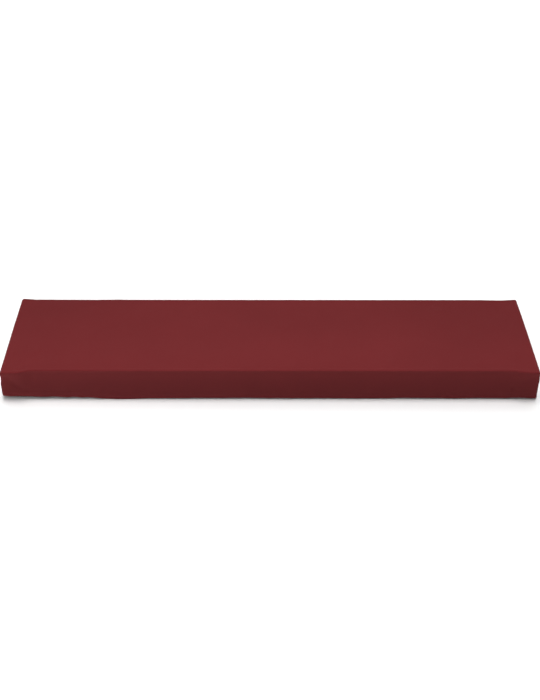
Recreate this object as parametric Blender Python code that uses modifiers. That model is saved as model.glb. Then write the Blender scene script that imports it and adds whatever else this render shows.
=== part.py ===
"""A fitted dust cover for an 88-key stage piano, in the shape it has when it is pulled over the instrument.

Units are metres. +Z is up, +X runs along the keyboard to the treble end, and the player sits on the -Y side.
The origin is on the underside of the top panel, at its middle, where the cloth lies on the instrument.

Every panel is laid out on a sharp box, one face to a panel. The box's edges are rounded, and then the points
move to where the cloth hangs. Both steps read only the place on the box, so the panels keep meeting at seams.
"""
from collections import namedtuple

import bmesh
import bpy
import numpy as np

# Sizes over the outside of the cloth
LENGTH = 1.291
DEPTH = 0.343
HEIGHT = 0.0788

# Stretch cloth, turned up once inside for the hem, with panels parted at each seam
CLOTH = 0.0016
HEM_CLOTH = 0.0026
HEM_WIDTH = 0.016
HEM_STEP = 0.004
SEAM_GAP = 0.0003

# The box that the inside of the cloth is laid out on
HALF_X = LENGTH / 2 - CLOTH
HALF_Y = DEPTH / 2 - CLOTH
SKIRT = HEIGHT - CLOTH
SEAM_INSET = SEAM_GAP * (3.0 / 2.0) ** 0.5  # on the sharp box, so that the gap holds where three panels meet

# Where the front and back edges of the top stand out past the box, by place along X
Edge = namedtuple("Edge", "x out")
FRONT_EDGE = (
    Edge(-0.645, 0.0095),
    Edge(-0.610, 0.0095),
    Edge(-0.568, -0.0008),
    Edge(-0.400, 0.0000),
    Edge(0.100, -0.0006),
    Edge(0.566, 0.0000),
    Edge(0.634, 0.0088),
    Edge(0.645, 0.0090),
)
BACK_EDGE = (
    Edge(-0.645, 0.0052),
    Edge(-0.605, 0.0018),
    Edge(-0.420, 0.0016),
    Edge(-0.360, 0.0000),
    Edge(0.600, 0.0000),
    Edge(0.645, 0.0022),
)
EDGE_FADE = 0.075

# How far from an upright corner a wall moves in with its neighbour
CORNER_FADE = 0.035

# How far below its seam a crease is still held flat
SEAM_HOLD = 0.014

# How round the edge is on its inside, by place along X
Radius = namedtuple("Radius", "x radius")
EDGE_RADII = (
    Radius(-0.645, 0.0050),
    Radius(-0.460, 0.0050),
    Radius(-0.370, 0.0018),
    Radius(0.540, 0.0018),
    Radius(0.600, 0.0036),
    Radius(0.645, 0.0036),
)

# Shallow hollows and swells of the top panel
Swell = namedtuple("Swell", "x y half_x half_y rise")
SWELLS = (
    Swell(-0.340, -0.010, 0.230, 0.110, -0.0014),
    Swell(0.330, 0.020, 0.260, 0.120, -0.0012),
    Swell(-0.120, -0.120, 0.110, 0.060, 0.0007),
    Swell(0.150, -0.115, 0.130, 0.060, 0.0006),
    Swell(-0.467, 0.141, 0.045, 0.028, -0.0014),
    Swell(-0.232, 0.143, 0.060, 0.026, -0.0012),
    Swell(0.420, 0.143, 0.075, 0.026, -0.0010),
    Swell(-0.600, -0.125, 0.060, 0.050, -0.0016),
    Swell(0.600, -0.128, 0.050, 0.048, -0.0014),
    Swell(-0.585, 0.120, 0.060, 0.055, -0.0008),
    Swell(0.590, 0.115, 0.055, 0.055, -0.0008),
)

# The sides in the order they follow each other round the cover, with the way each runs and faces
Side = namedtuple("Side", "name along out half_run half_out")
SIDES = (
    Side("front", (1.0, 0.0), (0.0, -1.0), HALF_X, HALF_Y),
    Side("right", (0.0, 1.0), (1.0, 0.0), HALF_Y, HALF_X),
    Side("back", (-1.0, 0.0), (0.0, 1.0), HALF_X, HALF_Y),
    Side("left", (0.0, -1.0), (-1.0, 0.0), HALF_Y, HALF_X),
)
ROUND_TRIP = 4.0 * (HALF_X + HALF_Y)

# The hem: how far it is lifted off its level, how far the elastic draws it in, and how far the wall
# above it bellies out. at is the place along X on the front and back, and along Y on the two ends
Hem = namedtuple("Hem", "side at lift tuck belly")
HEMS = (
    Hem("front", -0.632, 0.0054, -0.0006, 0.0012),
    Hem("front", -0.597, 0.0058, -0.0006, 0.0010),
    Hem("front", -0.539, 0.0040, -0.0002, 0.0009),
    Hem("front", -0.481, 0.0027, -0.0004, 0.0009),
    Hem("front", -0.451, 0.0025, -0.0006, 0.0009),
    Hem("front", -0.422, 0.0006, -0.0008, 0.0009),
    Hem("front", -0.390, -0.0022, -0.0008, 0.0010),
    Hem("front", -0.340, -0.0020, -0.0004, 0.0010),
    Hem("front", -0.277, -0.0005, 0.0002, 0.0012),
    Hem("front", -0.131, 0.0004, 0.0004, 0.0012),
    Hem("front", -0.073, 0.0007, 0.0004, 0.0011),
    Hem("front", 0.045, 0.0000, 0.0004, 0.0012),
    Hem("front", 0.248, -0.0009, 0.0006, 0.0012),
    Hem("front", 0.364, 0.0003, 0.0006, 0.0011),
    Hem("front", 0.437, -0.0006, 0.0006, 0.0012),
    Hem("front", 0.558, 0.0004, 0.0006, 0.0010),
    Hem("front", 0.600, 0.0014, 0.0006, 0.0010),
    Hem("front", 0.632, 0.0002, 0.0000, 0.0008),
    Hem("right", -0.158, 0.0004, 0.0000, 0.0010),
    Hem("right", -0.110, 0.0010, 0.0006, 0.0014),
    Hem("right", 0.000, -0.0004, 0.0014, 0.0018),
    Hem("right", 0.100, 0.0015, 0.0010, 0.0014),
    Hem("right", 0.158, 0.0030, 0.0010, 0.0010),
    Hem("back", 0.590, 0.0026, 0.0014, 0.0010),
    Hem("back", 0.420, 0.0002, 0.0010, 0.0014),
    Hem("back", 0.200, 0.0012, 0.0014, 0.0012),
    Hem("back", -0.020, -0.0008, 0.0010, 0.0014),
    Hem("back", -0.260, 0.0010, 0.0014, 0.0012),
    Hem("back", -0.470, 0.0004, 0.0010, 0.0014),
    Hem("back", -0.600, 0.0030, 0.0014, 0.0010),
    Hem("left", 0.158, 0.0034, 0.0010, 0.0012),
    Hem("left", 0.090, 0.0018, 0.0012, 0.0014),
    Hem("left", -0.010, 0.0000, 0.0014, 0.0018),
    Hem("left", -0.105, 0.0026, 0.0008, 0.0018),
    Hem("left", -0.158, 0.0050, -0.0028, 0.0034),
)

# Gathers that run up from the hem. reach is the share of the wall's height that one climbs
Fold = namedtuple("Fold", "side at half_width depth reach")
FOLDS = (
    Fold("front", -0.522, 0.026, 0.0018, 0.75),
    Fold("front", -0.474, 0.021, 0.0021, 0.65),
    Fold("front", -0.434, 0.020, 0.0018, 0.60),
    Fold("front", -0.388, 0.024, 0.0010, 0.55),
    Fold("front", 0.318, 0.030, 0.0010, 0.50),
    Fold("front", 0.500, 0.030, 0.0008, 0.50),
    Fold("right", -0.095, 0.026, 0.0014, 0.70),
    Fold("right", -0.040, 0.024, 0.0012, 0.60),
    Fold("right", 0.085, 0.030, 0.0016, 0.70),
    Fold("back", 0.545, 0.030, 0.0016, 0.70),
    Fold("back", 0.480, 0.026, 0.0012, 0.60),
    Fold("back", 0.050, 0.040, 0.0008, 0.50),
    Fold("back", -0.420, 0.030, 0.0010, 0.55),
    Fold("back", -0.540, 0.028, 0.0016, 0.70),
    Fold("left", 0.095, 0.028, 0.0016, 0.70),
    Fold("left", 0.030, 0.026, 0.0012, 0.60),
    Fold("left", -0.085, 0.030, 0.0016, 0.70),
)

# Soft creases that slant down from a corner of the top, each between two places on one side
Crease = namedtuple("Crease", "side at_top down_top at_low down_low half_width depth")
CREASES = (
    Crease("front", -0.636, 0.008, -0.594, 0.056, 0.015, 0.0018),
    Crease("front", 0.630, 0.012, 0.590, 0.046, 0.014, 0.0012),
    Crease("right", -0.160, 0.010, -0.130, 0.052, 0.014, 0.0012),
    Crease("left", -0.166, 0.020, -0.128, 0.054, 0.016, 0.0022),
    Crease("back", 0.632, 0.010, 0.590, 0.052, 0.015, 0.0014),
    Crease("back", -0.632, 0.010, -0.592, 0.050, 0.015, 0.0014),
)

# The grid: each line of it lies a share of the edge's radius plus a set distance in from a sharp edge.
# The first lines divide the rounding into even angles, and the others widen away from it
Line = namedtuple("Line", "share distance")
SEAM_LINES = (
    Line(0.0, SEAM_INSET),
    Line(1.0 - np.tan(np.radians(22.5)), 0.0),
    Line(1.0, 0.0),
)
END_STEPS = (0.013, 0.026, 0.042, 0.058, 0.076, 0.094)
TOP_STEPS = (0.016, 0.036, 0.064)
WALL_STEPS = (0.014, 0.028, 0.042)
LEFT_GATHERS = (-0.548, -0.372)
GATHER_PITCH = 0.0125
LONG_PITCH = 0.030
SHORT_PITCH = 0.036

# Colour of the cloth, linear
DARK_RED = (0.128, 0.015, 0.017, 1.0)
CLOTH_ROUGHNESS = 0.85


def soft_step(t):
    """0 below 0 and 1 above 1, level at both ends."""
    t = np.clip(t, 0.0, 1.0)
    return t * t * (3.0 - 2.0 * t)


def soft_bump(t):
    """1 at 0, falling to nothing at -1 and 1."""
    return np.maximum(1.0 - t * t, 0.0) ** 2


def read_table(places, values, where):
    """The table's value at each place, turning softly at every row."""
    places = np.asarray(places)
    values = np.asarray(values)
    where = np.clip(where, places[0], places[-1])
    after = np.clip(np.searchsorted(places, where, side="right"), 1, len(places) - 1)
    before = after - 1
    share = soft_step((where - places[before]) / (places[after] - places[before]))
    return values[before] + (values[after] - values[before]) * share


def run_start(side):
    """Where a side begins on the way round the cover, which starts at the front's left corner."""
    order = [other.name for other in SIDES].index(side.name)
    return sum(2.0 * other.half_run for other in SIDES[:order])


def run_at(side_name, at):
    """The way round at a place that is given along X or Y."""
    side = next(other for other in SIDES if other.name == side_name)
    return run_start(side) + side.half_run + at * (side.along[0] + side.along[1])


def hem_value(column, run):
    """One column of the hem's table, read on round the cover without a break."""
    places = np.array([run_at(row.side, row.at) for row in HEMS])
    values = np.array([getattr(row, column) for row in HEMS])
    places = np.concatenate(([places[-1] - ROUND_TRIP], places, [places[0] + ROUND_TRIP]))
    values = np.concatenate(([values[-1]], values, [values[0]]))
    return read_table(places, values, run)


def way_from(run, start):
    """The signed way round the cover from one place to others, the shorter way about."""
    return (run - start + ROUND_TRIP / 2) % ROUND_TRIP - ROUND_TRIP / 2


def edge_radius(x):
    return read_table([row.x for row in EDGE_RADII], [row.radius for row in EDGE_RADII], x)


def round_edges(box):
    """Points of the sharp box moved onto the rounded one."""
    radius = edge_radius(box[:, 0])
    core = np.stack(
        (
            np.clip(box[:, 0], radius - HALF_X, HALF_X - radius),
            np.clip(box[:, 1], radius - HALF_Y, HALF_Y - radius),
            np.minimum(box[:, 2], -radius),
        ),
        axis=1,
    )
    facing = box - core
    facing /= np.linalg.norm(facing, axis=1, keepdims=True)
    return core + facing * radius[:, None]


def top_rise(x, y):
    """How far the top panel stands above or below its level."""
    rise = np.zeros_like(x)
    for row in SWELLS:
        rise += row.rise * soft_bump((x - row.x) / row.half_x) * soft_bump((y - row.y) / row.half_y)
    return rise


def edge_shift(x, y):
    """How far the front and back edges carry the cloth beside them along Y."""
    front = read_table([row.x for row in FRONT_EDGE], [row.out for row in FRONT_EDGE], x)
    back = read_table([row.x for row in BACK_EDGE], [row.out for row in BACK_EDGE], x)
    near_front = soft_step(1.0 - (y + HALF_Y) / EDGE_FADE)
    near_back = soft_step(1.0 - (HALF_Y - y) / EDGE_FADE)
    return back * near_back - front * near_front


def hem_share(down):
    """How far a wall has turned into its hem: 0 above it, 1 in it."""
    return soft_step((down - SKIRT + HEM_WIDTH + HEM_STEP / 2) / HEM_STEP)


def belly_share(fall):
    """The wall's bulge: nothing at the seam and the hem, and 1 a third of the way down."""
    return 27.0 / 4.0 * fall * (1.0 - fall) ** 2


def wall_out(run, down):
    """How far a wall stands out from the box: its belly, the hem drawn in, the gathers and the creases."""
    fall = down / SKIRT
    out = hem_value("belly", run) * belly_share(fall) - hem_value("tuck", run) * fall**3
    for fold in FOLDS:
        climb = soft_step((fall - 1.0 + fold.reach) / fold.reach)
        out -= fold.depth * climb * soft_bump(way_from(run, run_at(fold.side, fold.at)) / fold.half_width)
    for crease in CREASES:
        start = run_at(crease.side, crease.at_top)
        line = np.array((run_at(crease.side, crease.at_low) - start, crease.down_low - crease.down_top))
        place = np.stack((way_from(run, start), down - crease.down_top), axis=1)
        share = np.clip(place @ line / (line @ line), 0.0, 1.0)
        away = np.linalg.norm(place - share[:, None] * line, axis=1)
        out -= crease.depth * soft_bump(away / crease.half_width) * soft_step(down / SEAM_HOLD)
    return out - (HEM_CLOTH - CLOTH) * hem_share(down)


def hang(box, run):
    """The inside of the hanging cloth, for points of the sharp box. run is the way round the cover."""
    points = round_edges(box)
    fall = -box[:, 2] / SKIRT
    points[:, 1] += edge_shift(box[:, 0], box[:, 1]) * (1.0 - fall) ** 2.5
    points[:, 2] += top_rise(box[:, 0], box[:, 1]) * (1.0 - fall) ** 2
    if run is None:
        return points
    near_end = soft_step(1.0 - (HALF_X - np.abs(box[:, 0])) / CORNER_FADE)
    near_long_side = soft_step(1.0 - (HALF_Y - np.abs(box[:, 1])) / CORNER_FADE)
    out = wall_out(run, -box[:, 2])
    points[:, 0] += np.sign(box[:, 0]) * near_end * out
    points[:, 1] += np.sign(box[:, 1]) * near_long_side * out
    points[:, 2] += hem_value("lift", run) * fall**2
    return points


def from_edge(radius, steps):
    """Distances in from a sharp edge that is rounded to one radius all along."""
    return np.array([line.share * radius + line.distance for line in SEAM_LINES] + list(steps))


def long_places():
    """Places along X of the grid's lines, which the top, front and back share so that their seams match."""
    left = from_edge(edge_radius(-HALF_X), END_STEPS) - HALF_X
    right = HALF_X - from_edge(edge_radius(HALF_X), END_STEPS)
    gathers = np.linspace(*LEFT_GATHERS, round((LEFT_GATHERS[1] - LEFT_GATHERS[0]) / GATHER_PITCH) + 1)
    steps = round((right[-1] - LEFT_GATHERS[1]) / LONG_PITCH)
    middle = np.linspace(LEFT_GATHERS[1], right[-1], steps + 1)[1:]
    return np.concatenate((left, gathers, middle, right[-2::-1]))


def short_middle():
    """Places along Y of the lines between the steps beside the front edge and those beside the back."""
    reach = HALF_Y - TOP_STEPS[-1]
    return np.linspace(-reach, reach, round(2.0 * reach / SHORT_PITCH) + 1)[1:-1]


def short_places(radius):
    """Places along Y of an end's lines. radius is that of its upright edges."""
    near = HALF_Y - from_edge(radius, TOP_STEPS)
    return np.concatenate((-near, short_middle(), near[::-1]))


def make_cloth_material(name):
    material = bpy.data.materials.new(name)
    material.use_nodes = True
    shader = material.node_tree.nodes["Principled BSDF"]
    shader.inputs["Base Color"].default_value = DARK_RED
    shader.inputs["Roughness"].default_value = CLOTH_ROUGHNESS
    shader.inputs["Metallic"].default_value = 0.0
    return material


def make_panel(name, collection, columns, rows, place):
    """One cut piece: a grid of so many columns and rows, laid out by place, then thickened outwards."""
    across = columns - 1
    up = rows - 1
    sheet = bmesh.new()
    bmesh.ops.create_grid(sheet, x_segments=across, y_segments=up, size=1.0)
    corners = np.array([vertex.co[:2] for vertex in sheet.verts])
    column = np.rint((corners[:, 0] + 1.0) / 2.0 * across).astype(int)
    row = np.rint((corners[:, 1] + 1.0) / 2.0 * up).astype(int)
    points, down = place(column, row)
    for vertex, point in zip(sheet.verts, points):
        vertex.co = point
    mesh = bpy.data.meshes.new(name)
    sheet.to_mesh(mesh)
    sheet.free()
    mesh.materials.append(make_cloth_material(name + "_cloth"))
    mesh.shade_smooth()
    panel = bpy.data.objects.new(name, mesh)
    collection.objects.link(panel)

    doubled = panel.vertex_groups.new(name="hem")
    for index, weight in enumerate(hem_share(down)):
        doubled.add([index], float(weight), "REPLACE")
    thicken = panel.modifiers.new("cloth", "SOLIDIFY")
    thicken.thickness = HEM_CLOTH
    thicken.offset = 1.0
    thicken.use_even_offset = True
    thicken.vertex_group = doubled.name
    thicken.thickness_vertex_group = CLOTH / HEM_CLOTH
    return panel


def make_top(collection):
    """The top panel. Its lines beside the front and back follow the rounding of the edge there."""
    columns = long_places()
    beside = [*SEAM_LINES, *(Line(0.0, step) for step in TOP_STEPS)]
    front = [(-1.0, line.share, HALF_Y - line.distance) for line in beside]
    middle = [(1.0, 0.0, y) for y in short_middle()]
    back = [(1.0, line.share, HALF_Y - line.distance) for line in reversed(beside)]
    rows = np.array(front + middle + back)

    def place(column, row):
        x = columns[column]
        towards, share, reach = rows[row].T
        y = towards * (reach - share * edge_radius(x))
        level = np.zeros_like(x)
        return hang(np.stack((x, y, level), axis=1), None), level

    return make_panel("top_panel", collection, len(columns), len(rows), place)


def make_wall(side, collection):
    """A wall of the skirt. Its uppermost lines follow the rounding of the edge there."""
    forwards = side.along[0] + side.along[1]
    if side.half_run == HALF_X:
        columns = np.sort(forwards * long_places())
    else:
        columns = np.sort(forwards * short_places(edge_radius(side.out[0] * HALF_X)))
    hem_top = SKIRT - HEM_WIDTH
    steps = (*WALL_STEPS, hem_top - HEM_STEP / 2, hem_top + HEM_STEP / 2, SKIRT)
    rows = np.array([*SEAM_LINES, *(Line(0.0, step) for step in steps)])[::-1]

    def place(column, row):
        along = columns[column]
        x = along * side.along[0] + side.half_out * side.out[0]
        y = along * side.along[1] + side.half_out * side.out[1]
        share, distance = rows[row].T
        down = share * edge_radius(x) + distance
        run = run_start(side) + side.half_run + along
        return hang(np.stack((x, y, -down), axis=1), run), down

    return make_panel(side.name + "_panel", collection, len(columns), len(rows), place)


def main():
    for leftover in list(bpy.data.objects):
        bpy.data.objects.remove(leftover)
    collection = bpy.data.collections.new("keyboard_dust_cover")
    bpy.context.scene.collection.children.link(collection)
    make_top(collection)
    for side in SIDES:
        make_wall(side, collection)


main()
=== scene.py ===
"""Looks of a fitted dust cover for an 88-key stage piano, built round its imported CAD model.

Metres, in the CAD's frame: +X runs along the keyboard to the treble end, the player sits on the -Y side, +Z
is up, and the origin is on the underside of the top panel. Each of the five sewn panels is a thin sheet of
cloth. It is laid out and hung as the CAD's solids are, with its ends and some of its edges a millimetre or two
nearer to the photograph's outline. It then gets what is too fine for the solids: rolled seams, puckers,
ripples, stitches and the knit.
"""
import math
from collections import namedtuple

import bpy
import numpy as np
from mathutils import Matrix, Vector, noise

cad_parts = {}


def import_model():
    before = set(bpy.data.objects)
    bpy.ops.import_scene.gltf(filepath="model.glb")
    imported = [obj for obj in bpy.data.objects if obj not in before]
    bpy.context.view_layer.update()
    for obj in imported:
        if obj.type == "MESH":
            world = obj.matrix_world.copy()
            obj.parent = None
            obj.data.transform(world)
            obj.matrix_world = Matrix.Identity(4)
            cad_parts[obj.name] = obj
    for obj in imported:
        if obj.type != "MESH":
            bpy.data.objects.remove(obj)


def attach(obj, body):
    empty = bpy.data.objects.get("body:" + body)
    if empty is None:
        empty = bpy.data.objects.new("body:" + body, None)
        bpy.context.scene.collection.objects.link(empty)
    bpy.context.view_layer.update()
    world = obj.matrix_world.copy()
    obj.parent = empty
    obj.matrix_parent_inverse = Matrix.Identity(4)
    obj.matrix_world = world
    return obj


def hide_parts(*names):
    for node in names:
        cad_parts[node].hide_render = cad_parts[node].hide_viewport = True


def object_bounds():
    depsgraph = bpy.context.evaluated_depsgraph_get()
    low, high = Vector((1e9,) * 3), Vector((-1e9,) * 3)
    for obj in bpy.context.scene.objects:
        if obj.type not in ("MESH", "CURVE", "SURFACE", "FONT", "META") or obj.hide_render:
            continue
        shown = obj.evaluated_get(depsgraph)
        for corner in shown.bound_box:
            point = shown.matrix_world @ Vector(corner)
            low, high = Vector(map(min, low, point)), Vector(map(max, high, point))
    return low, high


# Sizes over the outside of the cloth
LENGTH = 1.291
DEPTH = 0.343
HEIGHT = 0.0788
CLOTH = 0.0016
HEM_WIDTH = 0.016

# The box that the inside of the cloth is laid out on
HALF_X = LENGTH / 2 - CLOTH
HALF_Y = DEPTH / 2 - CLOTH
SKIRT = HEIGHT - CLOTH

# Where the front and back edges of the top stand out past the box, by place along X, and how far in from an
# edge the cloth is carried with it
Edge = namedtuple("Edge", "x out")
FRONT_EDGE = (
    Edge(-0.645, 0.0095),
    Edge(-0.610, 0.0095),
    Edge(-0.568, -0.0008),
    Edge(-0.400, 0.0000),
    Edge(0.100, -0.0006),
    Edge(0.566, 0.0000),
    Edge(0.634, 0.0088),
    Edge(0.645, 0.0090),
)
BACK_EDGE = (
    Edge(-0.645, 0.0074),
    Edge(-0.605, 0.0034),
    Edge(-0.420, 0.0022),
    Edge(-0.360, 0.0000),
    Edge(0.600, 0.0002),
    Edge(0.645, 0.0036),
)
EDGE_FADE = 0.075

# The power of the height that this dies away with down a wall
EDGE_POWER = 2.5

# Where the two ends stand out past the box, by place along Y
End = namedtuple("End", "y out")
ENDS = (
    End(-0.171, 0.0006),
    End(-0.120, 0.0010),
    End(-0.020, 0.0016),
    End(0.060, 0.0020),
    End(0.171, 0.0018),
)

# How far from an upright corner a wall moves in with its neighbour
CORNER_FADE = 0.035

# How far below its seam a crease is still held flat
SEAM_HOLD = 0.014

# How round the edge is on its inside, by place along X. It is sharpest along the middle
Radius = namedtuple("Radius", "x radius")
EDGE_RADII = (
    Radius(-0.645, 0.0050),
    Radius(-0.460, 0.0050),
    Radius(-0.370, 0.0010),
    Radius(0.540, 0.0010),
    Radius(0.600, 0.0036),
    Radius(0.645, 0.0036),
)

# Shallow hollows and swells of the top panel
Swell = namedtuple("Swell", "x y half_x half_y rise")
SWELLS = (
    Swell(-0.340, -0.010, 0.230, 0.110, -0.0014),
    Swell(0.330, 0.020, 0.260, 0.120, -0.0012),
    Swell(-0.120, -0.120, 0.110, 0.060, 0.0007),
    Swell(0.150, -0.115, 0.130, 0.060, 0.0006),
    Swell(-0.467, 0.141, 0.045, 0.028, -0.0014),
    Swell(-0.232, 0.143, 0.060, 0.026, -0.0012),
    Swell(0.420, 0.143, 0.075, 0.026, -0.0010),
    Swell(-0.600, -0.125, 0.060, 0.050, -0.0016),
    Swell(0.600, -0.128, 0.050, 0.048, -0.0014),
    Swell(-0.585, 0.120, 0.060, 0.055, -0.0008),
    Swell(0.590, 0.115, 0.055, 0.055, -0.0008),
)

# The sides in the order they follow each other round the cover, with the way each runs and faces
Side = namedtuple("Side", "name along out half_run half_out")
SIDES = (
    Side("front", (1.0, 0.0), (0.0, -1.0), HALF_X, HALF_Y),
    Side("right", (0.0, 1.0), (1.0, 0.0), HALF_Y, HALF_X),
    Side("back", (-1.0, 0.0), (0.0, 1.0), HALF_X, HALF_Y),
    Side("left", (0.0, -1.0), (-1.0, 0.0), HALF_Y, HALF_X),
)
ROUND_TRIP = 4.0 * (HALF_X + HALF_Y)

# The hem: how far it is lifted off its level, how far the elastic draws it in, and how far the wall
# above it bellies out. at is the place along X on the front and back, and along Y on the two ends
Hem = namedtuple("Hem", "side at lift tuck belly")
HEMS = (
    Hem("front", -0.632, 0.0054, -0.0006, 0.0012),
    Hem("front", -0.597, 0.0058, -0.0006, 0.0010),
    Hem("front", -0.539, 0.0040, -0.0002, 0.0009),
    Hem("front", -0.481, 0.0027, -0.0004, 0.0009),
    Hem("front", -0.451, 0.0025, -0.0006, 0.0009),
    Hem("front", -0.422, 0.0006, -0.0008, 0.0009),
    Hem("front", -0.390, -0.0022, -0.0008, 0.0010),
    Hem("front", -0.340, -0.0020, -0.0004, 0.0010),
    Hem("front", -0.277, -0.0005, 0.0002, 0.0012),
    Hem("front", -0.131, 0.0004, 0.0004, 0.0012),
    Hem("front", -0.073, 0.0007, 0.0004, 0.0011),
    Hem("front", 0.045, 0.0000, 0.0004, 0.0012),
    Hem("front", 0.248, -0.0009, 0.0006, 0.0012),
    Hem("front", 0.364, 0.0003, 0.0006, 0.0011),
    Hem("front", 0.437, -0.0006, 0.0006, 0.0012),
    Hem("front", 0.558, 0.0004, 0.0006, 0.0010),
    Hem("front", 0.600, 0.0014, 0.0006, 0.0010),
    Hem("front", 0.632, 0.0002, 0.0000, 0.0008),
    Hem("right", -0.158, 0.0004, 0.0000, 0.0010),
    Hem("right", -0.110, 0.0010, 0.0006, 0.0014),
    Hem("right", 0.000, -0.0004, 0.0014, 0.0018),
    Hem("right", 0.100, 0.0015, 0.0010, 0.0014),
    Hem("right", 0.158, 0.0030, 0.0010, 0.0010),
    Hem("back", 0.590, 0.0026, 0.0014, 0.0010),
    Hem("back", 0.420, 0.0002, 0.0010, 0.0014),
    Hem("back", 0.200, 0.0012, 0.0014, 0.0012),
    Hem("back", -0.020, -0.0008, 0.0010, 0.0014),
    Hem("back", -0.260, 0.0010, 0.0014, 0.0012),
    Hem("back", -0.470, 0.0004, 0.0010, 0.0014),
    Hem("back", -0.600, 0.0030, 0.0014, 0.0010),
    Hem("left", 0.158, 0.0034, 0.0010, 0.0012),
    Hem("left", 0.090, 0.0018, 0.0012, 0.0014),
    Hem("left", -0.010, 0.0000, 0.0014, 0.0018),
    Hem("left", -0.105, 0.0026, 0.0008, 0.0018),
    Hem("left", -0.158, 0.0050, -0.0034, 0.0030),
)

# Gathers that run up from the hem. reach is the share of the wall's height that one climbs
Fold = namedtuple("Fold", "side at half_width depth reach")
FOLDS = (
    Fold("front", -0.522, 0.026, 0.0018, 0.75),
    Fold("front", -0.474, 0.021, 0.0021, 0.65),
    Fold("front", -0.434, 0.020, 0.0018, 0.60),
    Fold("front", -0.388, 0.024, 0.0010, 0.55),
    Fold("front", 0.318, 0.030, 0.0010, 0.50),
    Fold("front", 0.500, 0.030, 0.0008, 0.50),
    Fold("right", -0.095, 0.026, 0.0014, 0.70),
    Fold("right", -0.040, 0.024, 0.0012, 0.60),
    Fold("right", 0.085, 0.030, 0.0016, 0.70),
    Fold("back", 0.545, 0.030, 0.0016, 0.70),
    Fold("back", 0.480, 0.026, 0.0012, 0.60),
    Fold("back", 0.050, 0.040, 0.0008, 0.50),
    Fold("back", -0.420, 0.030, 0.0010, 0.55),
    Fold("back", -0.540, 0.028, 0.0016, 0.70),
    Fold("left", 0.095, 0.028, 0.0016, 0.70),
    Fold("left", 0.030, 0.026, 0.0012, 0.60),
    Fold("left", -0.085, 0.030, 0.0016, 0.70),
)

# Soft creases that slant down from a corner of the top, each between two places on one side
Crease = namedtuple("Crease", "side at_top down_top at_low down_low half_width depth")
CREASES = (
    Crease("front", -0.636, 0.008, -0.594, 0.056, 0.015, 0.0018),
    Crease("front", 0.630, 0.012, 0.590, 0.046, 0.014, 0.0012),
    Crease("right", -0.160, 0.010, -0.130, 0.052, 0.014, 0.0012),
    Crease("left", -0.166, 0.020, -0.128, 0.054, 0.016, 0.0022),
    Crease("back", 0.632, 0.010, 0.590, 0.052, 0.015, 0.0014),
    Crease("back", -0.632, 0.010, -0.592, 0.050, 0.015, 0.0014),
)

# The elastic draws in the tip of the hem at the front's left corner, below this share of the wall's fall
TIP_DRAW = 0.0026
TIP_HALF_WIDTH = 0.018
TIP_START = 0.84

# A sheet's two faces lie this far out from the inside of the solids' cloth
FACE = CLOTH
BACKING = 0.0004

# At a seam two panels lie a hair apart, roll down into it, and turn to face one way over the last stretch
SEAM_PARTING = 0.00005
SEAM_ROLL = 0.0010
SEAM_DEPTH = 0.0009
SEAM_TURN = 0.007

# The step that tells which way a surface faces
PROBE = 0.0001

# The hem's fold is half round. Its turning is this thick inside, and steps up to that over its raw edge
FOLD_RADIUS = 0.0012
HEM_TURN = 0.0011
HEM_EDGE = 0.0008

# The seam's turnings lie under the top and lift it in a low welt beside the seam, by place along X
Welt = namedtuple("Welt", "x lift")
WELTS = (
    Welt(-0.640, 0.00030),
    Welt(-0.420, 0.00030),
    Welt(-0.370, 0.00070),
    Welt(0.560, 0.00070),
    Welt(0.640, 0.00045),
)
WELT_MIDDLE = 0.0060
WELT_HALF = 0.0044

# Soft unevenness: its height, the length of its waves along X, Y and Z, and where its noise starts
Ripple = namedtuple("Ripple", "height wave seed")
TOP_RIPPLES = (
    Ripple(0.00030, (0.13, 0.09, 1.0), 3.7),
    Ripple(0.00012, (0.05, 0.035, 1.0), 8.1),
)
WALL_RIPPLE = Ripple(0.00045, (0.085, 0.085, 0.055), 5.3)
HEM_RIPPLES = (
    Ripple(0.00065, (0.021, 0.021, 0.021), 11.9),
    Ripple(0.00016, (0.011, 0.011, 0.011), 17.3),
)
SEAM_RIPPLE = Ripple(0.00022, (0.016, 0.016, 0.016), 23.1)

# The top's ripples come in over this distance from its seams, and a wall's over this share of its fall. The
# hem's grow with a power of the fall and run nearly upright. A seam's die away from it
TOP_RIPPLE_START = 0.030
WALL_RIPPLE_START = 0.25
HEM_RIPPLE_POWER = 5
HEM_RIPPLE_SLANT = 0.15
SEAM_RIPPLE_FADE = 0.009

# Tension lines fan out over the top from its corners, each fan turned on from the last
FAN_DEPTH = 0.00030
FAN_LINES = 15.0
FAN_TURN = 1.7
FAN_REACH = 0.075
FAN_START = 0.030

# The sheets' grids: steps in from a seam, then an even pitch
SEAM_STEPS = (
    0.0, 0.0002, 0.0005, 0.0009, 0.0014, 0.0020, 0.0028, 0.0038, 0.0050, 0.0065, 0.0085, 0.0110, 0.0145
)
TOP_PITCH = 0.0036
WALL_PITCH = 0.0024
WALL_ROW_PITCH = 0.0030
HEM_PITCH = 0.0012

# Rows of a wall's grid round the hem's fold, beside its raw edge, and across a groove of stitches
FOLD_ANGLES = (90.0, 70.0, 50.0, 30.0, 10.0)
RAW_EDGE_STEPS = (-0.0022, -0.0010, -HEM_EDGE / 2, 0.0, HEM_EDGE / 2, 0.0010, 0.0022)
GROOVE_STEPS = (-1.0, -0.5, 0.0, 0.5, 1.0)

# Twin rows of stitches hold the hem, by height over its fold, each in a groove that it pulls into the cloth
STITCH_ROWS = (0.0108, 0.0143)
STITCH_LENGTH = 0.0027
STITCH_PITCH = 0.0034
STITCH_THICK = 0.00026
STITCH_SIDES = 6
STITCH_SINK = 0.00022
STITCH_GROOVE = 0.0013
STITCH_END = 0.004

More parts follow.
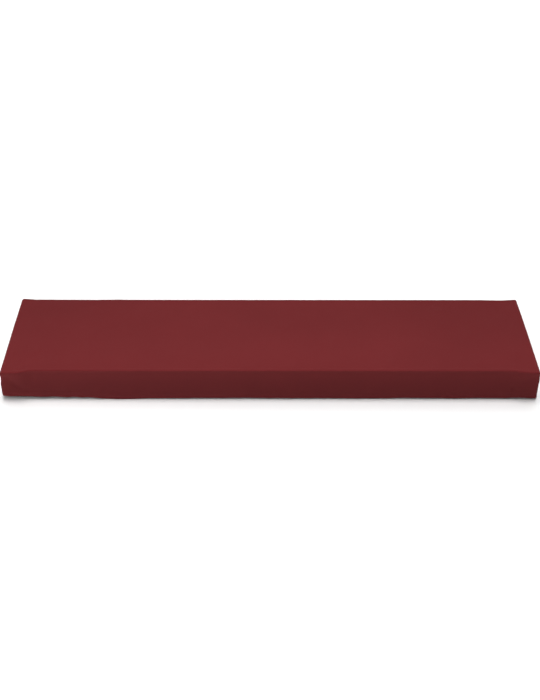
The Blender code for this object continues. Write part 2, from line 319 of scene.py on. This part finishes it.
# A stitch from end to end: its place by half its length, and its radius and height by its thickness
Station = namedtuple("Station", "along radius height")
STITCH_STATIONS = (
    Station(-1.00, 0.35, -0.70),
    Station(-0.72, 0.85, 0.45),
    Station(0.00, 1.00, 0.80),
    Station(0.72, 0.85, 0.45),
    Station(1.00, 0.35, -0.70),
)

# The knit's columns and courses of loops, and the share of a loop's slanting leg and its rib in its height
WALE = 0.0009
COURSE = 0.0007
LEG_SHARE = 0.25
RIB_SHARE = 0.5

# The dye's broad unevenness and the yarn's fine specks, by scale, detail and what they add to the shade of the
# bare cloth. The loops add painted shade in the dips between them and painted light on their crests
DYE_SCALE = 5.0
DYE_DETAIL = 3.0
DYE_SHADE = 0.16
YARN_SCALE = 420.0
YARN_DETAIL = 2.0
YARN_SHADE = 0.22
LOOP_PAINTED_SHADE = 0.14
BARE_SHADE = 0.81

# The cloth's finish. Its roughness follows the yarn, and its bump the loops with some of the yarn
YARN_LOW = 0.3
YARN_HIGH = 0.7
ROUGH_LOW = 0.78
ROUGH_HIGH = 0.92
YARN_BUMP = 0.6
KNIT_BUMP = 0.7
CLOTH_GLOSS = 0.06
SHEEN_ROUGHNESS = 0.5
SHEEN_TINT = (0.80, 0.18, 0.20)

# The thread's twist, with painted shade in its grooves, and its finish
TWIST_SCALE = 700.0
TWIST_WANDER = 1.5
TWIST_PAINTED_SHADE = 0.3
THREAD_SHADE = 0.85
TWIST_BUMP = 0.5
TWIST_DEPTH = 0.00005
THREAD_ROUGHNESS = 0.6
THREAD_GLOSS = 0.25

# Colours, linear
# The top's red is painted lighter and clearer and the walls' darker and greyer: painted light and shade on one
# cloth
LIT_TOP_RED = (0.1265, 0.0149, 0.0165)
SHADED_WALL_RED = (0.116, 0.0170, 0.0184)
BACK_RED = (0.103, 0.0138, 0.0151)
THREAD_RED = (0.094, 0.0126, 0.0138)
FLOOR_WHITE = (0.88, 0.88, 0.88)

# Painted light and shade across the panels. The top is painted palest at the front of its middle and darker
# towards its back and its ends. A wall is painted paler just under its seam, darker lower down, and paler
# again in the doubled hem. Each change of shade runs between two places on the flat cloth: u is the way along
# a panel, here from the top's middle, and v the way across it
Shade = namedtuple("Shade", "way start end change")
# The top: painted shade towards its back and its ends
TOP_PAINTED_SHADE = (
    Shade("v", -0.120, 0.140, -0.080),
    Shade("u", 0.200, 0.580, -0.065),
)
# A wall: painted shade lower down, and painted light in the hem
WALL_PAINTED_LIGHT_AND_SHADE = (
    Shade("v", -0.009, -0.035, -0.085),
    Shade("v", -0.057, -0.066, 0.140),
)

# The two faces of the cloth on the top and the walls
Cloth = namedtuple("Cloth", "name colour knit_depth sheen shades")
TOP_FACE = Cloth("top_cloth_face", LIT_TOP_RED, 0.00020, 0.03, TOP_PAINTED_SHADE)
WALL_FACE = Cloth("wall_cloth_face", SHADED_WALL_RED, 0.00020, 0.045, WALL_PAINTED_LIGHT_AND_SHADE)
CLOTH_BACK = Cloth("cloth_back", BACK_RED, 0.00024, 0.03, ())

# The floor lies just under the hem, level for metres round the cover, then curves up to a slope
FLOOR_ROUGHNESS = 0.8
FLOOR_GLOSS = 0.1
FLOOR_GAP = 0.0005
FLOOR_LEVEL_RADIUS = 9.0
FLOOR_CURVE = 16.0
FLOOR_SLOPE = math.radians(35.0)
FLOOR_RINGS = 9
FLOOR_SPOKES = 96

# Soft studio lights, each turned to the middle of the cover
Sun = namedtuple("Sun", "name place power angle")
SUNS = (
    Sun("overhead", (0.0, 0.1, 3.0), 2.15, math.radians(25.0)),
    Sun("behind", (0.0, 2.4, 3.0), 1.25, math.radians(50.0)),
)
LAMP_PLACE = (-1.5, -1.2, 0.8)
LAMP_POWER = 8.3
LAMP_SIZE = 0.8
ALL_ROUND = 0.30

# The photograph's camera, worked out from the four edges of the top and the height of the front
PICTURE_LONG_SIDE = 700
FOCAL_PIXELS = 1275
SENSOR = 36.0
CAMERA_FROM_FRONT_EDGE = (-0.029, -2.551, 1.665)
CAMERA_YAW = math.radians(0.61)
CAMERA_PITCH = math.radians(32.18)
CAMERA_ROLL = math.radians(0.359)


def soft_step(t):
    """0 below 0 and 1 above 1, level at both ends."""
    t = np.clip(t, 0.0, 1.0)
    return t * t * (3.0 - 2.0 * t)


def soft_bump(t):
    """1 at 0, falling to nothing at -1 and 1."""
    return np.maximum(1.0 - t * t, 0.0) ** 2


def read_table(places, values, where):
    """The table's value at each place, turning softly at every row."""
    places = np.asarray(places)
    values = np.asarray(values)
    where = np.clip(where, places[0], places[-1])
    after = np.clip(np.searchsorted(places, where, side="right"), 1, len(places) - 1)
    before = after - 1
    share = soft_step((where - places[before]) / (places[after] - places[before]))
    return values[before] + (values[after] - values[before]) * share


def run_start(side):
    """Where a side begins on the way round the cover, which starts at the front's left corner."""
    order = [other.name for other in SIDES].index(side.name)
    return sum(2.0 * other.half_run for other in SIDES[:order])


def run_at(side_name, at):
    """The way round at a place that is given along X or Y."""
    side = next(other for other in SIDES if other.name == side_name)
    return run_start(side) + side.half_run + at * (side.along[0] + side.along[1])


def hem_value(column, run):
    """One column of the hem's table, read on round the cover without a break."""
    places = np.array([run_at(row.side, row.at) for row in HEMS])
    values = np.array([getattr(row, column) for row in HEMS])
    places = np.concatenate(([places[-1] - ROUND_TRIP], places, [places[0] + ROUND_TRIP]))
    values = np.concatenate(([values[-1]], values, [values[0]]))
    return read_table(places, values, run)


def way_from(run, start):
    """The signed way round the cover from one place to others, the shorter way about."""
    return (run - start + ROUND_TRIP / 2) % ROUND_TRIP - ROUND_TRIP / 2


def edge_radius(x):
    return read_table([row.x for row in EDGE_RADII], [row.radius for row in EDGE_RADII], x)


def round_edges(box):
    """Points of the sharp box moved onto the rounded one, and the ways that this faces there."""
    radius = edge_radius(box[..., 0])
    core = np.stack(
        (
            np.clip(box[..., 0], radius - HALF_X, HALF_X - radius),
            np.clip(box[..., 1], radius - HALF_Y, HALF_Y - radius),
            np.minimum(box[..., 2], -radius),
        ),
        axis=-1,
    )
    facing = box - core
    facing /= np.linalg.norm(facing, axis=-1, keepdims=True)
    return core + facing * radius[..., None], facing


def top_rise(x, y):
    """How far the top panel stands above or below its level."""
    rise = np.zeros_like(x)
    for row in SWELLS:
        rise += row.rise * soft_bump((x - row.x) / row.half_x) * soft_bump((y - row.y) / row.half_y)
    return rise


def edge_shift(x, y):
    """How far the front and back edges carry the cloth beside them along Y."""
    front = read_table([row.x for row in FRONT_EDGE], [row.out for row in FRONT_EDGE], x)
    back = read_table([row.x for row in BACK_EDGE], [row.out for row in BACK_EDGE], x)
    near_front = soft_step(1.0 - (y + HALF_Y) / EDGE_FADE)
    near_back = soft_step(1.0 - (HALF_Y - y) / EDGE_FADE)
    return back * near_back - front * near_front


def belly_share(fall):
    """The wall's bulge: nothing at the seam and the hem, and 1 a third of the way down."""
    return 27.0 / 4.0 * fall * (1.0 - fall) ** 2


def wall_out(run, down):
    """How far a wall stands out from the box, with its belly, drawn-in hem and tip, gathers and creases."""
    fall = down / SKIRT
    out = hem_value("belly", run) * belly_share(fall) - hem_value("tuck", run) * fall**3
    for fold in FOLDS:
        climb = soft_step((fall - 1.0 + fold.reach) / fold.reach)
        out -= fold.depth * climb * soft_bump(way_from(run, run_at(fold.side, fold.at)) / fold.half_width)
    for crease in CREASES:
        start = run_at(crease.side, crease.at_top)
        line = np.array((run_at(crease.side, crease.at_low) - start, crease.down_low - crease.down_top))
        place = np.stack((way_from(run, start), down - crease.down_top), axis=-1)
        share = np.clip(place @ line / (line @ line), 0.0, 1.0)
        away = np.linalg.norm(place - share[..., None] * line, axis=-1)
        out -= crease.depth * soft_bump(away / crease.half_width) * soft_step(down / SEAM_HOLD)
    tip = soft_bump(way_from(run, run_at("front", -HALF_X)) / TIP_HALF_WIDTH)
    out -= TIP_DRAW * tip * (np.maximum(fall - TIP_START, 0.0) / (1.0 - TIP_START)) ** 2
    return out


def hang(box, run):
    """The inside of the hanging cloth, for points of the sharp box. run is the way round, None on the top."""
    points, _ = round_edges(box)
    fall = -box[..., 2] / SKIRT
    points[..., 1] += edge_shift(box[..., 0], box[..., 1]) * np.maximum(1.0 - fall, 0.0) ** EDGE_POWER
    points[..., 2] += top_rise(box[..., 0], box[..., 1]) * (1.0 - fall) ** 2
    near_end = soft_step(1.0 - (HALF_X - np.abs(box[..., 0])) / CORNER_FADE)
    end_out = read_table([row.y for row in ENDS], [row.out for row in ENDS], box[..., 1])
    points[..., 0] += np.sign(box[..., 0]) * near_end * end_out
    if run is None:
        return points
    near_long_side = soft_step(1.0 - (HALF_Y - np.abs(box[..., 1])) / CORNER_FADE)
    out = wall_out(run, -box[..., 2])
    points[..., 0] += np.sign(box[..., 0]) * near_end * out
    points[..., 1] += np.sign(box[..., 1]) * near_long_side * out
    points[..., 2] += hem_value("lift", run) * fall**2
    return points


def rippled(box, ripple):
    """How high a ripple stands over points of the box."""
    scaled = box / np.array(ripple.wave) + ripple.seed
    flat = [noise.noise(Vector(point)) for point in scaled.reshape(-1, 3)]
    return ripple.height * np.array(flat).reshape(box.shape[:-1])


def from_seams(half, pitch):
    """Places from -half to half, close together beside the seam at each end."""
    near = half - np.array(SEAM_STEPS)
    near[0] -= SEAM_PARTING
    middle = np.linspace(-near[-1], near[-1], round(2.0 * near[-1] / pitch) + 1)
    return np.concatenate((-near[:-1], middle, near[-2::-1]))


def outward(place, across, up):
    """The inside of the cloth at a place, and the way that its outer face looks there."""
    ahead = place(across + PROBE, up) - place(across - PROBE, up)
    above = place(across, up + PROBE) - place(across, up - PROBE)
    facing = np.cross(ahead, above)
    return place(across, up), facing / np.linalg.norm(facing, axis=-1, keepdims=True)


def turned_at_seam(facing, box, distance):
    """The ways a panel's outer face looks, turned beside a seam to the way that both its panels share."""
    _, shared = round_edges(box)
    share = soft_step(1.0 - distance / SEAM_TURN)[..., None]
    facing = facing + (shared - facing) * share
    return facing / np.linalg.norm(facing, axis=-1, keepdims=True)


def beside_seam(box, distance):
    """Small puckers where the sewing draws the cloth in. They match on both sides of a seam."""
    return rippled(box, SEAM_RIPPLE) * np.exp(-distance / SEAM_RIPPLE_FADE)


def rolled_in(distance):
    """How far the cloth rolls down into a seam at this distance from it."""
    inward = np.maximum(1.0 - distance / SEAM_ROLL, 0.0)
    return SEAM_DEPTH * (1.0 - np.sqrt(np.maximum(1.0 - inward**2, 0.0)))


def close_sheet(name, face, back, uv, materials):
    """A closed sheet from two matching grids of points, its face and its back, joined round the border."""
    rows, columns = face.shape[:2]
    count = rows * columns
    index = np.arange(count).reshape(rows, columns)
    quads = np.stack((index[:-1, :-1], index[:-1, 1:], index[1:, 1:], index[1:, :-1]), axis=-1).reshape(-1, 4)
    border = np.concatenate((index[0, :-1], index[:-1, -1], index[-1, :0:-1], index[:0:-1, 0]))
    following = np.roll(border, -1)
    rim = np.stack((border, border + count, following + count, following), axis=-1)
    faces = np.concatenate((quads, quads[:, ::-1] + count, rim))
    materials_of_faces = np.ones(len(faces), dtype=np.int32)
    materials_of_faces[: len(quads)] = 0

    points = np.concatenate((face.reshape(-1, 3), back.reshape(-1, 3)))
    sheet = add_mesh(name, points, faces, materials, materials_of_faces)
    corners = np.empty(len(sheet.data.loops), dtype=np.int32)
    sheet.data.loops.foreach_get("vertex_index", corners)
    layer = sheet.data.uv_layers.new(name="cloth")
    layer.data.foreach_set("uv", uv.reshape(-1, 2)[corners % count].ravel())
    return sheet


def add_mesh(name, points, faces, materials, materials_of_faces=None):
    mesh = bpy.data.meshes.new(name)
    mesh.from_pydata(points.tolist(), [], [list(face) for face in faces])
    for material in materials:
        mesh.materials.append(material)
    if materials_of_faces is not None:
        mesh.polygons.foreach_set("material_index", materials_of_faces)
    mesh.shade_smooth()
    thing = bpy.data.objects.new(name, mesh)
    bpy.context.scene.collection.objects.link(thing)
    return thing


def corner_ripples(x, y):
    """Faint tension lines that fan out over the top from its four corners and fade towards its edges."""
    out = np.zeros_like(x)
    for number, (end, side) in enumerate(((-1, -1), (1, -1), (-1, 1), (1, 1))):
        inward = HALF_X - end * x
        forward = HALF_Y - side * y
        far = np.hypot(inward, forward)
        angle = np.arctan2(forward, inward)
        fan = np.sin(angle * FAN_LINES + number * FAN_TURN) * np.sin(angle * 2.0)
        out += FAN_DEPTH * fan * np.exp(-far / FAN_REACH) * soft_step(far / FAN_START)
    return out


def top_inside(x, y):
    return hang(np.stack((x, y, np.zeros_like(x)), axis=-1), None)


def make_top(materials):
    """The top panel, with its welt beside each seam."""
    x, y = np.meshgrid(from_seams(HALF_X, TOP_PITCH), from_seams(HALF_Y, TOP_PITCH))
    inside, facing = outward(top_inside, x, y)
    box = np.stack((x, y, np.zeros_like(x)), axis=-1)
    to_end = HALF_X - np.abs(x)
    to_side = HALF_Y - np.abs(y)
    to_seam = np.minimum(to_end, to_side)
    facing = turned_at_seam(facing, box, to_seam)
    loose = sum(rippled(box, ripple) for ripple in TOP_RIPPLES)
    relief = loose * soft_step(to_seam / TOP_RIPPLE_START) + corner_ripples(x, y) + beside_seam(box, to_seam)
    lift = read_table([row.x for row in WELTS], [row.lift for row in WELTS], x)
    relief += lift * soft_bump((to_seam - WELT_MIDDLE) / WELT_HALF)
    roll = np.minimum(rolled_in(to_end) + rolled_in(to_side), SEAM_DEPTH)
    face = inside + facing * (FACE + relief - roll)[..., None]
    back = inside + facing * (BACKING + relief / 2)[..., None]
    return close_sheet("top_cloth", face, back, np.stack((x, y), axis=-1), materials)


def wall_box(side, along, up):
    """Places on one side of the sharp box. along is from its middle, and up is from the top's level."""
    x = along * side.along[0] + side.half_out * side.out[0]
    y = along * side.along[1] + side.half_out * side.out[1]
    return np.stack((x, y, up), axis=-1)


def wall_surface(side, along, up):
    """A wall's inside, the way it looks there, and the fine relief of its outer face."""
    run_middle = run_start(side) + side.half_run

    def inside_at(along, up):
        return hang(wall_box(side, along, up), run_middle + along)

    inside, facing = outward(inside_at, along, up)
    box = wall_box(side, along, up)
    fall = -up / SKIRT
    slanted = box * np.array((1.0, 1.0, HEM_RIPPLE_SLANT))
    relief = rippled(box, WALL_RIPPLE) * soft_step(fall / WALL_RIPPLE_START)
    relief += sum(rippled(slanted, ripple) for ripple in HEM_RIPPLES) * fall**HEM_RIPPLE_POWER
    to_seam = np.minimum(-up, side.half_run - np.abs(along))
    facing = turned_at_seam(facing, box, to_seam)
    relief += beside_seam(box, to_seam)
    for row in STITCH_ROWS:
        relief -= STITCH_SINK * soft_bump((SKIRT + up - row) / STITCH_GROOVE)
    return inside, facing, relief


def hem_rows():
    """Heights on a wall, from the hem's fold up to the seam, close together where the cloth turns."""
    raw_edge = SKIRT - HEM_WIDTH + np.array(RAW_EDGE_STEPS)
    fold = SKIRT - FOLD_RADIUS * (1.0 - np.cos(np.radians(FOLD_ANGLES)))
    top = np.array(SEAM_STEPS)
    top[0] += SEAM_PARTING
    wall = np.linspace(top[-1], raw_edge[0], round((raw_edge[0] - top[-1]) / WALL_ROW_PITCH) + 1)[1:-1]
    grooves = SKIRT - np.array(STITCH_ROWS[::-1])[:, None] + STITCH_GROOVE * np.array(GROOVE_STEPS)
    grooves = grooves.ravel()
    hem = np.linspace(grooves[-1], fold[0], round((fold[0] - grooves[-1]) / HEM_PITCH) + 1)[1:-1]

    # The raw edge's rows stop short of the first groove
    raw_edge = raw_edge[raw_edge < grooves[0] - STITCH_GROOVE / 4]
    return -np.concatenate((top, wall, raw_edge, grooves, hem, fold))[::-1]


def make_wall(side, materials):
    """One wall of the skirt, with its hem turned up inside."""
    along, up = np.meshgrid(from_seams(side.half_run, WALL_PITCH), hem_rows())
    inside, facing, relief = wall_surface(side, along, up)
    roll = np.minimum(rolled_in(-up) + rolled_in(side.half_run - np.abs(along)), SEAM_DEPTH)

    # The hem's fold is half round, and its raw edge stands out inside
    below = np.clip((FOLD_RADIUS - up - SKIRT) / FOLD_RADIUS, 0.0, 1.0)
    narrowing = 1.0 - np.sqrt(np.maximum(1.0 - below**2, 0.0))
    turned = soft_step((HEM_WIDTH + HEM_EDGE / 2 - up - SKIRT) / HEM_EDGE)
    outer = FACE + relief - roll
    inner = BACKING + relief - HEM_TURN * turned
    middle = (outer + inner) / 2
    face = inside + facing * (outer + (middle - outer) * narrowing)[..., None]
    back = inside + facing * (inner + (middle - inner) * narrowing)[..., None]
    uv = np.stack((run_start(side) + along, up), axis=-1)
    return close_sheet(side.name + "_cloth", face, back, uv, materials)


def make_stitches(side, material):
    """Two rows of stitches that hold a wall's hem, each stitch a short rounded thread sunk at its ends."""
    half = side.half_run - STITCH_END
    middles = np.linspace(-half, half, round(2.0 * half / STITCH_PITCH) + 1)
    share, radius, height = np.array(STITCH_STATIONS).T
    turn = np.linspace(0.0, 2.0 * math.pi, STITCH_SIDES, endpoint=False)
    points = []
    for row in STITCH_ROWS:
        along = middles[:, None] + share * STITCH_LENGTH / 2
        up = np.full_like(along, row - SKIRT)
        inside, facing, relief = wall_surface(side, along, up)
        ahead = np.gradient(inside, axis=1)
        across = np.cross(facing, ahead)
        across /= np.linalg.norm(across, axis=-1, keepdims=True)
        centre = inside + facing * (FACE + relief + STITCH_THICK * height)[..., None]
        ring = across[..., None, :] * np.cos(turn)[:, None] + facing[..., None, :] * np.sin(turn)[:, None]
        points.append(centre[..., None, :] + STITCH_THICK * ring * radius[:, None, None])
    points = np.concatenate(points)
    stitches, stations, sides = points.shape[:3]
    index = np.arange(stitches * stations * sides).reshape(stitches, stations, sides)
    beside = np.roll(index, -1, axis=2)
    walls = np.stack((index[:, :-1], beside[:, :-1], beside[:, 1:], index[:, 1:]), axis=-1).reshape(-1, 4)

    # Each six-sided end is closed by two faces of four corners
    ends = np.concatenate((index[:, 0, ::-1], index[:, -1]))
    faces = np.concatenate((walls, ends[:, :4], ends[:, (0, 3, 4, 5)]))
    return add_mesh(side.name + "_stitches", points.reshape(-1, 3), faces, (material,))


def make_node(tree, kind, inputs=(), **settings):
    """Adds a node. inputs maps its sockets, by name or number, to values or to other nodes' outputs."""
    node = tree.nodes.new(kind)
    for name, value in settings.items():
        setattr(node, name, value)
    for socket, value in dict(inputs).items():
        if isinstance(value, bpy.types.NodeSocket):
            tree.links.new(value, node.inputs[socket])
        else:
            node.inputs[socket].default_value = value
    return node


def maths(tree, operation, first, second=0.0):
    return make_node(tree, "ShaderNodeMath", {0: first, 1: second}, operation=operation).outputs[0]


def remap(tree, value, start, end, low, high, curve="LINEAR"):
    """A value's way from start to end, turned into one from low to high and held there."""
    inputs = {"Value": value, "From Min": start, "From Max": end, "To Min": low, "To Max": high}
    return make_node(tree, "ShaderNodeMapRange", inputs, interpolation_type=curve).outputs[0]


def new_material(name):
    """A fresh material, its tree of nodes and its shader."""
    material = bpy.data.materials.new(name)
    material.use_nodes = True
    tree = material.node_tree
    return material, tree, tree.nodes["Principled BSDF"]


def shade_colour(tree, shader, colour, shade):
    """The shader's colour, made lighter and darker by the shade."""
    inputs = {"Value": shade, "Color": (*colour, 1.0)}
    tinted = make_node(tree, "ShaderNodeHueSaturation", inputs).outputs[0]
    tree.links.new(tinted, shader.inputs["Base Color"])


def raise_bump(tree, shader, height, strength, depth):
    inputs = {"Height": height, "Strength": strength, "Distance": depth}
    bump = make_node(tree, "ShaderNodeBump", inputs).outputs[0]
    tree.links.new(bump, shader.inputs["Normal"])


def knit_loops(tree, place):
    """Columns of V-shaped loops, each with two legs that slant towards the middle of its column."""
    column = maths(tree, "PINGPONG", maths(tree, "MULTIPLY", place.outputs[0], 1.0 / WALE), 0.5)
    course = maths(tree, "MULTIPLY", place.outputs[1], 1.0 / COURSE)
    leg = maths(tree, "SINE", maths(tree, "MULTIPLY", maths(tree, "ADD", course, column), 2.0 * math.pi))
    leg = maths(tree, "MULTIPLY", leg, LEG_SHARE)
    rib = maths(tree, "SINE", maths(tree, "MULTIPLY", column, 2.0 * math.pi))
    rib = maths(tree, "MULTIPLY", rib, RIB_SHARE)
    return maths(tree, "ADD", leg, rib)


def cloth_material(cloth):
    """Fine stretch knit: columns of loops, a little uneven in shade, with painted light and shade and a matte
    face.
    """
    material, tree, shader = new_material(cloth.name)
    uv = make_node(tree, "ShaderNodeUVMap", uv_map="cloth").outputs["UV"]
    place = make_node(tree, "ShaderNodeSeparateXYZ", {0: uv})
    loops = knit_loops(tree, place)

    # The colour's shade: broad unevenness of the dye, the yarn's own specks, and the loops' painted shade,
    # dark in the dips between them and light on their crests
    where = make_node(tree, "ShaderNodeTexCoord").outputs["Object"]
    dye_inputs = {"Vector": where, "Scale": DYE_SCALE, "Detail": DYE_DETAIL}
    dye = make_node(tree, "ShaderNodeTexNoise", dye_inputs).outputs["Fac"]
    yarn_inputs = {"Vector": where, "Scale": YARN_SCALE, "Detail": YARN_DETAIL}
    yarn = make_node(tree, "ShaderNodeTexNoise", yarn_inputs).outputs["Fac"]
    shade = maths(tree, "ADD", maths(tree, "MULTIPLY", dye, DYE_SHADE), BARE_SHADE)
    shade = maths(tree, "ADD", shade, maths(tree, "MULTIPLY", yarn, YARN_SHADE))
    # The loops' painted shade: darker in the dips between them, lighter on their crests
    shade = maths(tree, "ADD", shade, maths(tree, "MULTIPLY", loops, LOOP_PAINTED_SHADE))
    ways = {"u": maths(tree, "ABSOLUTE", place.outputs[0]), "v": place.outputs[1]}
    # Painted light and shade across the panel: each row lightens or darkens the cloth between two places
    for row in cloth.shades:
        change = remap(tree, ways[row.way], row.start, row.end, 0.0, row.change, "SMOOTHSTEP")
        shade = maths(tree, "ADD", shade, change)
    shade_colour(tree, shader, cloth.colour, shade)

    rough = remap(tree, yarn, YARN_LOW, YARN_HIGH, ROUGH_LOW, ROUGH_HIGH)
    tree.links.new(rough, shader.inputs["Roughness"])
    fuzz = maths(tree, "ADD", loops, maths(tree, "MULTIPLY", yarn, YARN_BUMP))
    raise_bump(tree, shader, fuzz, KNIT_BUMP, cloth.knit_depth)
    shader.inputs["Specular IOR Level"].default_value = CLOTH_GLOSS
    shader.inputs["Sheen Weight"].default_value = cloth.sheen
    shader.inputs["Sheen Roughness"].default_value = SHEEN_ROUGHNESS
    shader.inputs["Sheen Tint"].default_value = (*SHEEN_TINT, 1.0)
    return material


def thread_material():
    """Twisted sewing thread, a shade darker than the cloth, with painted shade in the grooves of its twist."""
    material, tree, shader = new_material("thread")
    where = make_node(tree, "ShaderNodeTexCoord").outputs["Object"]
    inputs = {"Vector": where, "Scale": TWIST_SCALE, "Distortion": TWIST_WANDER}
    twist = make_node(tree, "ShaderNodeTexWave", inputs, bands_direction="DIAGONAL").outputs["Fac"]
    # Painted shade in the grooves of the twist, lighter on its ridges
    shade = maths(tree, "ADD", maths(tree, "MULTIPLY", twist, TWIST_PAINTED_SHADE), THREAD_SHADE)
    shade_colour(tree, shader, THREAD_RED, shade)
    raise_bump(tree, shader, twist, TWIST_BUMP, TWIST_DEPTH)
    shader.inputs["Roughness"].default_value = THREAD_ROUGHNESS
    shader.inputs["Specular IOR Level"].default_value = THREAD_GLOSS
    return material


def floor_material():
    material, _, shader = new_material("floor_white")
    shader.inputs["Base Color"].default_value = (*FLOOR_WHITE, 1.0)
    shader.inputs["Roughness"].default_value = FLOOR_ROUGHNESS
    shader.inputs["Specular IOR Level"].default_value = FLOOR_GLOSS
    return material


def make_floor(level):
    """A round studio floor, level under the cover and curving up all round far away."""
    slope = np.linspace(0.0, FLOOR_SLOPE, FLOOR_RINGS)
    radius = FLOOR_LEVEL_RADIUS + FLOOR_CURVE * np.sin(slope)
    height = FLOOR_CURVE * (1.0 - np.cos(slope))
    turn = np.linspace(0.0, 2.0 * math.pi, FLOOR_SPOKES, endpoint=False)
    rings = np.stack(
        (
            radius[:, None] * np.cos(turn),
            radius[:, None] * np.sin(turn),
            level + height[:, None] + np.zeros_like(turn),
        ),
        axis=-1,
    )
    index = np.arange(FLOOR_RINGS * FLOOR_SPOKES).reshape(FLOOR_RINGS, FLOOR_SPOKES)
    beside = np.roll(index, -1, axis=1)
    quads = np.stack((index[:-1], index[1:], beside[1:], beside[:-1]), axis=-1).reshape(-1, 4)
    faces = [index[0].tolist()] + quads.tolist()
    floor = add_mesh("floor", rings.reshape(-1, 3), faces, (floor_material(),))


def add_light(name, kind, place, power):
    """A white light at a place, turned to the middle of the cover."""
    data = bpy.data.lights.new(name, kind)
    data.energy = power
    light = bpy.data.objects.new(name, data)
    light.location = place
    light.rotation_euler = (-Vector(place)).to_track_quat("-Z", "Y").to_euler()
    bpy.context.scene.collection.objects.link(light)
    return data


def make_lights():
    """Soft light from overhead, behind and all round, and a low lamp at the front's left."""
    for name, place, power, angle in SUNS:
        sun = add_light(name, "SUN", place, power)
        sun.angle = angle
    lamp = add_light("low_lamp", "AREA", LAMP_PLACE, LAMP_POWER)
    lamp.shape = "DISK"
    lamp.size = LAMP_SIZE
    world = bpy.data.worlds.new("studio")
    world.use_nodes = True
    background = world.node_tree.nodes["Background"]
    background.inputs["Color"].default_value = (1.0, 1.0, 1.0, 1.0)
    background.inputs["Strength"].default_value = ALL_ROUND
    bpy.context.scene.world = world


def make_camera():
    """The photograph's camera, from its angles and its place over the middle of the front edge."""
    forward = Vector(
        (
            math.sin(CAMERA_YAW) * math.cos(CAMERA_PITCH),
            math.cos(CAMERA_YAW) * math.cos(CAMERA_PITCH),
            -math.sin(CAMERA_PITCH),
        )
    )
    right = Vector((math.cos(CAMERA_YAW), -math.sin(CAMERA_YAW), 0.0))
    down = forward.cross(right)
    picture_right = right * math.cos(CAMERA_ROLL) - down * math.sin(CAMERA_ROLL)
    picture_up = -(right * math.sin(CAMERA_ROLL) + down * math.cos(CAMERA_ROLL))
    data = bpy.data.cameras.new("camera")
    data.sensor_width = SENSOR
    data.lens = FOCAL_PIXELS * SENSOR / PICTURE_LONG_SIDE
    camera = bpy.data.objects.new("camera", data)
    turn = Matrix((picture_right, picture_up, -forward)).transposed()
    place = Vector(CAMERA_FROM_FRONT_EDGE) + Vector((0.0, -DEPTH / 2, CLOTH))
    camera.matrix_world = Matrix.Translation(place) @ turn.to_4x4()
    bpy.context.scene.collection.objects.link(camera)
    bpy.context.scene.camera = camera


def main():
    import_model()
    cad_box = [list(corner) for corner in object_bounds()]
    bpy.context.scene.view_settings.view_transform = "Standard"
    make_camera()
    make_lights()

    top_cloth = cloth_material(TOP_FACE)
    wall_cloth = cloth_material(WALL_FACE)
    back_cloth = cloth_material(CLOTH_BACK)
    thread = thread_material()

    top = make_top((top_cloth, back_cloth))
    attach(top, "root")
    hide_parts("top_panel")
    for side in SIDES:
        wall = make_wall(side, (wall_cloth, back_cloth))
        stitches = make_stitches(side, thread)
        for piece in (wall, stitches):
            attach(piece, "root")
        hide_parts(side.name + "_panel")

    make_floor(cad_box[0][2] - FLOOR_GAP)


main()
